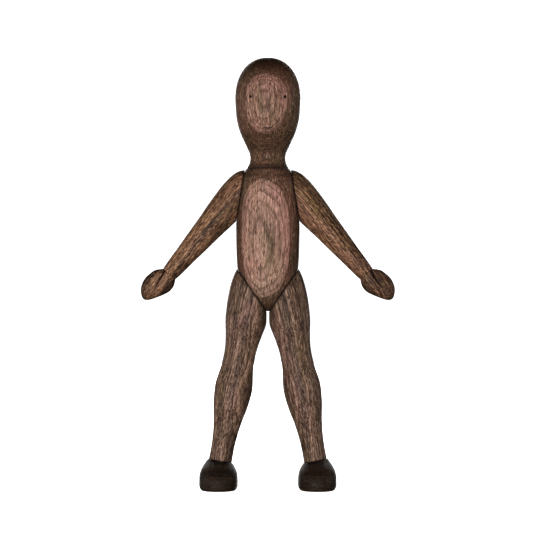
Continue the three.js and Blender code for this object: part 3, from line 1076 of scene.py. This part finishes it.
@dataclass(frozen=True)
class Leg:
    """A turned leg, cut by its hip face, with a flat where the thighs would meet."""

    bones: Skeleton
    side: Side
    thigh: float = 11 * MM
    knee: float = 8.05 * MM
    calf: float = 9.65 * MM
    ankle: float = 5.9 * MM
    gap: float = 1.2 * MM
    seat_radius: float = 2.75 * MM
    seat_depth: float = 9.2 * MM
    bush_radius: float = 3.7 * MM
    bush_depth: float = 12.7 * MM
    sides: int = 144

    @property
    def length(self) -> float:
        """From the middle of the ankle seam to the middle of the hip face."""
        return float(np.linalg.norm(self.bones.hip.place - self.bones.ankle.place))

    def profile(self, distance: np.ndarray) -> np.ndarray:
        """The leg's radius at a distance from the ankle seam."""
        thigh, knee, calf, ankle = self.thigh, self.knee, self.calf, self.ankle
        table = [
            [0, ankle],
            [0.08, 0.995 * ankle],
            [0.155, 0.7 * ankle + 0.267 * knee],
            [0.235, 0.5 * ankle + 0.445 * calf],
            [0.315, 0.27 * ankle + 0.73 * calf],
            [0.375, 0.97 * calf],
            [0.435, calf],
            [0.48, 0.955 * calf],
            [0.535, 0.55 * knee + 0.4185 * calf],
            [0.6, knee],
            [0.655, 1.015 * knee],
            [0.73, 0.63 * knee + 0.37 * thigh],
            [0.8, 0.2 * knee + 0.8 * thigh],
            [0.87, thigh],
            [0.95, 1.02 * thigh],
            [1.04, 0.97 * thigh],
            [1.12, 0.8 * thigh],
            [1.18, 0.5 * thigh],
            [1.22, 0],
        ]
        return np.maximum(smooth(table, distance / self.length)[:, 0], 0)

    def surface(self, distance: np.ndarray) -> np.ndarray:
        """A ring of the leg, with its own distance from the ankle on each line."""
        cos, sin = circle(self.sides)
        shin = self.bones.ankle.axis
        u = np.cross((0, 1, 0), shin)
        radius = self.profile(distance)
        out = np.outer(cos * radius, u) + np.outer(sin * radius, np.cross(shin, u))
        points = self.bones.ankle.place + np.outer(distance, shin) + out
        points[:, 0] = soft_limit(points[:, 0], -self.gap / 2, 0.25 * MM)
        return points

    def shape(self) -> Piece:
        """Turns the leg and cuts its two joint faces with their bores."""
        hip, ankle = self.bones.hip, self.bones.ankle
        end = crossing(self.surface, hip, SEAM, 0.5 * self.length, 1.2 * self.length, self.sides)
        flat = np.ones(self.sides)
        low = SEAM + EDGE
        corner, before = self.surface(SEAM * flat), self.surface(low * flat)
        foot, start = socket(ankle, corner, before, SEAM, self.bush_radius, self.bush_depth)
        face, pole = socket(
            hip, self.surface(end), self.surface(end - EDGE), SEAM, self.seat_radius, self.seat_depth
        )
        skin = Skin(start)
        skin.add(foot[::-1])
        skin.add(self.surface(low + (end - EDGE - low) * t) for t in np.linspace(0, 1, 170)[1:-1])
        skin.add(face)
        return skin.piece(f"{self.side.value}_leg_skin", pole, self.side)

    def build(self, timber: Timber) -> Piece:
        """Makes the leg and dresses it."""
        piece = self.shape()
        faces = [mirrored(self.bones.hip, self.side), mirrored(self.bones.ankle, self.side)]
        dress(piece, timber, faces, f"{self.side.value}_leg")
        return piece


@dataclass(frozen=True)
class Foot:
    """A carved clog-shaped foot, darker than the rest."""

    bones: Skeleton
    side: Side
    width: float = 19.7 * MM
    toe: float = 21 * MM
    heel: float = 10.5 * MM
    offset: float = 0.8 * MM
    sole_round: float = 1 * MM
    dowel_radius: float = ANKLE_DOWEL
    dowel_depth: float = 7.95 * MM
    squareness: float = 2.3
    sides: int = 144

    def surface(self, share: np.ndarray) -> np.ndarray:
        """A ring of the foot, with its own share of the ankle's height on each line."""
        ankle = self.bones.ankle.place
        long, middle = (self.toe + self.heel) / 2, (self.heel - self.toe) / 2
        table = [
            [0, 1 - 2 * self.sole_round / self.width, 1 - self.sole_round / long, 1],
            [0.1, 0.985, 0.99, 1],
            [0.3, 1, 1, 1],
            [0.5, 0.985, 0.95, 0.94],
            [0.67, 0.925, 0.85, 0.8],
            [0.85, 0.79, 0.68, 0.55],
            [1, 0.64, 0.44, 0.25],
            [1.12, 0.5, 0.3, 0.1],
        ]
        wide, deep, forward = smooth(table, share).T
        cos, sin = circle(self.sides)
        x = ankle[0] - self.offset + wide * self.width / 2 * bend(cos, self.squareness)
        y = ankle[1] + middle * forward + deep * long * bend(sin, self.squareness)
        return np.stack([x, y, share * ankle[2]], 1)

    def shape(self) -> Piece:
        """Carves the foot, with its flat sole, its rounded toe and the dowel's socket on top."""
        ankle = self.bones.ankle
        end = crossing(self.surface, ankle, 0.0, 0.4, 1.12, self.sides)
        flat = np.ones(self.sides)
        step = EDGE / ankle.place[2]
        sole = self.surface(0 * flat)
        middle = sole.mean(0)
        skin = Skin(middle)
        skin.add(middle + (sole - middle) * t for t in (0.25, 0.5, 0.75, 0.9, 0.985))
        skin.add(self.surface((end - step) * t) for t in np.linspace(0, 1, 90)[:-1] ** 1.25)
        corner, before = self.surface(end), self.surface(end - step)
        top, pole = socket(ankle, corner, before, 0.0, self.dowel_radius + FIT, -self.dowel_depth)
        skin.add(top)
        return skin.piece(f"{self.side.value}_foot_skin", pole, self.side)

    def build(self, timber: Timber) -> Piece:
        """Makes the foot and dresses it."""
        piece = self.shape()
        faces = [mirrored(self.bones.ankle, self.side)]
        dress(piece, timber, faces, f"{self.side.value}_foot")
        return piece


# ---------------------------------------------------------------- hidden joint hardware


def node_group(name: str, sizes: dict[str, float]) -> tuple[bpy.types.NodeTree, Tree, bpy.types.Node]:
    """Starts a geometry tree with a path in, named sizes and a geometry out.

    Args:
        name: the tree's name.
        sizes: each size's name and its first value.

    Returns:
        The tree, its writer and its input node.
    """
    group = bpy.data.node_groups.new(name, "GeometryNodeTree")
    face = group.interface
    face.new_socket("Geometry", in_out="INPUT", socket_type="NodeSocketGeometry")
    for size, value in sizes.items():
        face.new_socket(size, in_out="INPUT", socket_type="NodeSocketFloat").default_value = value
    face.new_socket("Material", in_out="INPUT", socket_type="NodeSocketMaterial")
    face.new_socket("Geometry", in_out="OUTPUT", socket_type="NodeSocketGeometry")
    tree = Tree(group)
    return group, tree, tree.node("NodeGroupInput")


def close_group(tree: Tree, geometry: Socket, material: Socket) -> None:
    """Ends a geometry tree: real geometry, shaded smooth, with its material."""
    real = tree.node("GeometryNodeRealizeInstances", {0: geometry})
    shaded = tree.node("GeometryNodeSetShadeSmooth", {0: real.outputs[0]})
    finished = tree.node("GeometryNodeSetMaterial", {"Geometry": shaded.outputs[0], "Material": material})
    tree.node("NodeGroupOutput", {0: finished.outputs[0]})


def grow(name: str, path: np.ndarray, group: bpy.types.NodeTree, inputs: dict[str, object]) -> Piece:
    """Grows a piece along a path with a geometry tree and bakes it.

    Args:
        name: the piece's name.
        path: the points that it follows.
        group: the geometry tree.
        inputs: a value for each named input.

    Returns:
        The finished piece, a plain mesh.
    """
    mesh = bpy.data.meshes.new(name)
    mesh.from_pydata(path.tolist(), [(i, i + 1) for i in range(len(path) - 1)], [])
    piece = bpy.data.objects.new(name, mesh)
    bpy.context.scene.collection.objects.link(piece)
    modifier = piece.modifiers.new("grow", "NODES")
    modifier.node_group = group
    for item in group.interface.items_tree:
        if item.item_type == "SOCKET" and item.in_out == "INPUT" and item.name in inputs:
            modifier[item.identifier] = inputs[item.name]
    baked(piece)
    return piece


@dataclass(frozen=True)
class Spring:
    """A close-wound spring bent at the midline, with a ball on each end in a limb's seat."""

    name: str
    joint: Joint
    finish: Metal
    wire: float = 0.24 * MM
    outer: float = 1.2 * MM
    ball: float = 1.8 * MM
    ball_depth: float = 6.94 * MM

    @staticmethod
    def tree() -> bpy.types.NodeTree:
        """A wire wound round a path, with a ball at each end of it."""
        sizes = {"Wire": 0.24 * MM, "Coil": 0.95 * MM, "Pitch": 0.5 * MM, "Ball": 1.8 * MM}
        group, tree, given = node_group("wound_spring", sizes)
        per_turn = 16
        path = tree.made("GeometryNodeMeshToCurve", {0: given.outputs["Geometry"]})
        spacing = tree.math("DIVIDE", given.outputs["Pitch"], per_turn)
        dense = tree.made("GeometryNodeResampleCurve", {0: path, "Length": spacing}, mode="LENGTH")
        turn = tree.times(tree.node("GeometryNodeInputIndex").outputs[0], 2 * math.pi / per_turn)
        normal = tree.made("GeometryNodeInputNormal")
        tangent = tree.made("GeometryNodeInputTangent")
        other = tree.made("ShaderNodeVectorMath", {0: tangent, 1: normal}, operation="CROSS_PRODUCT")
        parts = []
        for direction, wave in ((normal, "COSINE"), (other, "SINE")):
            size = tree.times(tree.math(wave, turn), given.outputs["Coil"])
            parts.append(tree.made("ShaderNodeVectorMath", {0: direction, "Scale": size}, operation="SCALE"))
        offset = tree.made("ShaderNodeVectorMath", {0: parts[0], 1: parts[1]})
        wound = tree.made("GeometryNodeSetPosition", {0: dense, "Offset": offset})
        section = {"Resolution": 6, "Radius": given.outputs["Wire"]}
        round_wire = tree.made("GeometryNodeCurvePrimitiveCircle", section)
        swept = {"Curve": wound, "Profile Curve": round_wire, "Fill Caps": True}
        coil = tree.made("GeometryNodeCurveToMesh", swept)
        ends = tree.made("GeometryNodeCurveEndpointSelection")
        globe = {"Segments": 28, "Rings": 18, "Radius": given.outputs["Ball"]}
        ball = tree.made("GeometryNodeMeshUVSphere", globe)
        placed = {"Points": path, "Selection": ends, "Instance": ball}
        balls = tree.made("GeometryNodeInstanceOnPoints", placed)
        joined = tree.node("GeometryNodeJoinGeometry")
        for made in (balls, coil):
            tree.tree.links.new(made, joined.inputs[0])
        close_group(tree, joined.outputs[0], given.outputs["Material"])
        return group

    def path(self) -> np.ndarray:
        """The spring's bent line, from one ball to the other, rounded at the midline."""
        out = self.joint.axis
        end = self.joint.place + out * self.ball_depth
        elbow = self.joint.place - out * (self.joint.place[0] / out[0])
        near = elbow + unit(end - elbow) * 2.2 * MM
        flip = np.array([-1, 1, 1])
        curve = [
            near * (1 - t) ** 2 + elbow * 2 * t * (1 - t) + near * flip * t**2
            for t in np.linspace(0, 1, 9)
        ]
        return np.array([end, *curve, end * flip])

    def build(self, group: bpy.types.NodeTree) -> Piece:
        """Winds the spring and puts it in the torso."""
        inputs = {
            "Wire": self.wire,
            "Coil": self.outer - self.wire,
            "Pitch": 2.1 * self.wire,
            "Ball": self.ball,
            "Material": self.finish.material(),
        }
        piece = grow(f"{self.name}_coil", self.path(), group, inputs)
        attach(piece, "torso")
        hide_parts(self.name)
        LOG.info("%s: %d faces", piece.name, len(piece.data.polygons))
        return piece


@dataclass(frozen=True)
class Dowel:
    """A fluted dowel that joins two wooden pieces."""

    node: str
    body: str
    joint: Joint
    finish: Timber
    radius: float

    @staticmethod
    def tree() -> bpy.types.NodeTree:
        """A rod along a path, with glue flutes all round it."""
        sizes = {"Radius": 3 * MM, "Flutes": 18.0, "Depth": 0.05}
        group, tree, given = node_group("fluted_dowel", sizes)
        points = 216
        path = tree.made("GeometryNodeMeshToCurve", {0: given.outputs["Geometry"]})
        section = {"Resolution": points, "Radius": given.outputs["Radius"]}
        outline = tree.made("GeometryNodeCurvePrimitiveCircle", section)
        turn = tree.times(tree.node("GeometryNodeInputIndex").outputs[0], 2 * math.pi / points)
        wave = tree.math("COSINE", tree.times(turn, given.outputs["Flutes"]))
        cut = tree.times(tree.math("MAXIMUM", wave, 0.0), given.outputs["Depth"])
        place = tree.made("GeometryNodeInputPosition")
        inwards = {0: place, "Scale": tree.math("SUBTRACT", 1.0, cut)}
        scaled = tree.made("ShaderNodeVectorMath", inwards, operation="SCALE")
        fluted = tree.made("GeometryNodeSetPosition", {0: outline, "Position": scaled})
        swept = {"Curve": path, "Profile Curve": fluted, "Fill Caps": True}
        rod_mesh = tree.made("GeometryNodeCurveToMesh", swept)
        close_group(tree, rod_mesh, given.outputs["Material"])
        return group

    def path(self) -> np.ndarray:
        """The dowel's middle line, as long as its CAD solid."""
        low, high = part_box(self.node)
        axis = self.joint.axis
        half = self.radius * abs(axis[0])
        start = (low.z + half - self.joint.place[2]) / axis[2]
        end = (high.z - half - self.joint.place[2]) / axis[2]
        return np.array([self.joint.place + axis * start, self.joint.place + axis * end])

    def build(self, group: bpy.types.NodeTree) -> Piece:
        """Makes the dowel and puts it in its body."""
        inputs = {"Radius": self.radius, "Material": self.finish.material()}
        piece = grow(f"{self.node}_fluted", self.path(), group, inputs)
        soften(piece)
        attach(piece, self.body)
        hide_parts(self.node)
        LOG.info("%s: %d faces", piece.name, len(piece.data.polygons))
        return piece


# ---------------------------------------------------------------- the studio


@dataclass(frozen=True)
class Studio:
    """A pale round room, soft light from the front, the sides and the back, and the camera."""

    aim: Triple = (0.0011, 0.0, 0.1116)
    distance: float = 1.2
    field_width: float = 0.2754
    key_power: float = 25.0
    fill_power: float = 1.0
    back_power: float = 42.0
    side_power: float = 5.0
    room_light: float = 0.04
    wall_glow: float = 1.05

    def camera(self) -> None:
        """Puts the camera level with the middle of the figure, straight in front."""
        data = bpy.data.cameras.new("camera")
        data.sensor_width = 36
        data.lens = data.sensor_width * self.distance / self.field_width
        data.clip_start = 0.05
        made = bpy.data.objects.new("camera", data)
        made.location = (self.aim[0], self.aim[1] - self.distance, self.aim[2])
        made.rotation_euler = (math.pi / 2, 0, 0)
        bpy.context.scene.collection.objects.link(made)
        bpy.context.scene.camera = made

    def light(self, name: str, place: Triple, size: float, power: float) -> None:
        """Adds a soft square light that faces the figure."""
        data = bpy.data.lights.new(name, "AREA")
        data.size = size
        data.energy = power
        made = bpy.data.objects.new(name, data)
        made.location = place
        aim = Vector(self.aim) - Vector(place)
        made.rotation_euler = aim.to_track_quat("-Z", "Y").to_euler()
        made.visible_camera = False
        bpy.context.scene.collection.objects.link(made)

    def room(self) -> None:
        """Raises the round pale floor into a wall and a dome, which don't light the figure."""
        radius, corner, sides = 3.0, 0.8, 48
        cos, sin = circle(sides)
        line = [(0.3, 0.0), (1.0, 0.0), (radius - corner, 0.0)]
        for turn in np.linspace(0, math.pi / 2, 16)[1:]:
            line.append((radius - corner + corner * math.sin(turn), corner * (1 - math.cos(turn))))
        line += [(radius, 2.0), (0.7 * radius, 3.4), (0.2 * radius, 4.0)]
        skin = Skin(np.zeros(3))
        skin.add(np.stack([reach * cos, reach * sin, np.full(sides, height)], 1) for reach, height in line)
        room = skin.piece("pale_room", np.array([0, 0, 4.1]))
        room.data.shade_smooth()
        material, tree = new_material("pale_wall")
        place = tree.node("ShaderNodeTexCoord").outputs["Object"]
        paint = tree.mix(tree.noise(place, (3, 3, 3)), (0.88, 0.88, 0.88), (0.92, 0.92, 0.92))
        tree.surface(
            Base_Color=paint,
            Roughness=0.9,
            Specular_IOR_Level=0.1,
            Emission_Color=(1, 1, 1, 1),
            Emission_Strength=self.wall_glow,
        )
        room.data.materials.append(material)
        room.visible_diffuse = room.visible_glossy = room.visible_shadow = False

    def world(self) -> None:
        """Fills the room with a faint even light."""
        world = bpy.data.worlds.new("room")
        world.use_nodes = True
        background = world.node_tree.nodes["Background"]
        background.inputs[0].default_value = (1, 1, 1, 1)
        background.inputs[1].default_value = self.room_light
        bpy.context.scene.world = world
        bpy.context.scene.view_settings.view_transform = "Standard"
        bpy.context.scene.view_settings.look = "Medium High Contrast"

    def build(self) -> None:
        """Sets the stage."""
        self.camera()
        self.room()
        self.world()
        self.light("key", (-0.28, -1.5, 0.06), 0.35, self.key_power)
        self.light("fill", (1.0, -1.0, 0.3), 0.9, self.fill_power)
        self.light("back", (0.0, 1.6, 0.3), 1.4, self.back_power)
        for place in ((1.4, 0.2, 0.3), (-1.4, 0.2, 0.3)):
            self.light("side", place, 0.7, self.side_power)


# ---------------------------------------------------------------- the whole figure


def timbers(bones: Skeleton) -> dict[str, Timber]:
    """One piece of timber for each wooden piece, each from its own place in a log."""
    y = bones.neck.place[1]
    leg_colours = {
        "pale": srgb(140, 115, 99),
        "dark": srgb(82, 66, 57),
        "rosy": srgb(126, 98, 92),
        "olive": srgb(108, 90, 66),
        "fleck": srgb(184, 156, 130),
        "bite": 0.85,
    }
    arm_colours = {
        "pale": srgb(148, 114, 90),
        "dark": srgb(60, 45, 35),
        "rosy": srgb(122, 88, 78),
        "olive": srgb(118, 95, 64),
        "fleck": srgb(206, 170, 128),
        "bite": 0.95,
    }
    foot_colours = {
        "pale": srgb(66, 52, 40),
        "dark": srgb(38, 28, 21),
        "rosy": srgb(60, 44, 36),
        "olive": srgb(54, 46, 34),
        "pore": srgb(14, 10, 8),
        "fleck": srgb(92, 78, 64),
        "end_grain": (0.8, 0.78, 0.76),
        "gloss": 0.6,
    }
    made = {
        "torso": Timber(
            "torso_timber",
            Grain((0.0045, y + 0.05, 0.123), bow=0.0014, pale_from=62.3),
            pale=srgb(160, 131, 114),
            dark=srgb(132, 106, 92),
            bite=0.5,
        ),
        "head": Timber(
            "head_timber",
            Grain((0.0042, y + 0.045, 0.189), bow=0.0012, pale_from=60.0),
            bite=0.6,
        ),
    }
    for side, drift in ((Side.RIGHT, 0.004), (Side.LEFT, -0.007)):
        x = -side.sign
        arm = Grain((0.08 * x, y + 0.03 + drift, 0.164), turn=(0, ARM_LEAN * side.sign, 0), pitch=0.9)
        leg = Grain((0.075 * x, y + 0.03 + drift, 0.06), turn=(0, LEG_LEAN * side.sign, 0), pitch=1.3)
        foot = Grain((0.024 * x, 0, -0.03 + drift), turn=(90, 0, 0), pitch=0.9)
        made[f"{side.value}_arm"] = Timber(f"{side.value}_arm_timber", arm, **arm_colours)
        made[f"{side.value}_leg"] = Timber(f"{side.value}_leg_timber", leg, **leg_colours)
        made[f"{side.value}_foot"] = Timber(f"{side.value}_foot_timber", foot, **foot_colours)
    return made


def dress_hardware() -> None:
    """Gives the bushes and spring seats, which keep their CAD shapes, their finishes."""
    rubber = Rubber().material()
    brass = Metal("seat_brass", srgb(205, 165, 96), srgb(150, 112, 62)).material()
    for name, node in frame["nodes"].items():
        if name.endswith("bush") or name.endswith("seat"):
            node.data.materials.clear()
            node.data.materials.append(rubber if name.endswith("bush") else brass)
            LOG.info("%s: keeps its CAD shape", name)


def main() -> None:
    """Builds the figure, piece by piece, and its stage."""
    logging.basicConfig(level=logging.INFO, format="%(name)s: %(message)s")
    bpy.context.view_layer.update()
    bones = Skeleton()
    wood = timbers(bones)
    Studio().build()
    Head(bones).build(wood["head"])
    Torso(bones).build(wood["torso"])
    for side in Side:
        Arm(bones, side).build(wood[f"{side.value}_arm"])
        Leg(bones, side).build(wood[f"{side.value}_leg"])
        Foot(bones, side).build(wood[f"{side.value}_foot"])
    steel = Metal("spring_steel", srgb(178, 182, 186), srgb(120, 122, 126), 0.28)
    spring_tree, dowel_tree = Spring.tree(), Dowel.tree()
    Spring("shoulder_spring", bones.shoulder, steel).build(spring_tree)
    Spring("hip_spring", bones.hip, replace(steel, name="hip_spring_steel")).build(spring_tree)
    beech = {
        "pale": srgb(214, 178, 132),
        "dark": srgb(190, 150, 104),
        "rosy": srgb(212, 168, 126),
        "olive": srgb(196, 164, 116),
        "pore": srgb(120, 84, 52),
        "fleck": srgb(228, 198, 158),
    }
    neck_beech = Timber("neck_dowel_beech", Grain((0.02, 0.03, 0.16)), **beech)
    Dowel("neck_dowel", "head", bones.neck, neck_beech, NECK_DOWEL).build(dowel_tree)
    for side in Side:
        name, ankle = side.value, mirrored(bones.ankle, side)
        grain = Grain((-0.03 * side.sign, 0.02, 0.01), turn=(0, LEG_LEAN * side.sign, 0))
        peg = Timber(f"{name}_dowel_beech", grain, **beech)
        Dowel(f"{name}_ankle_dowel", f"{name}_foot", ankle, peg, ANKLE_DOWEL).build(dowel_tree)
    dress_hardware()


if __name__ == "__main__":
    main()
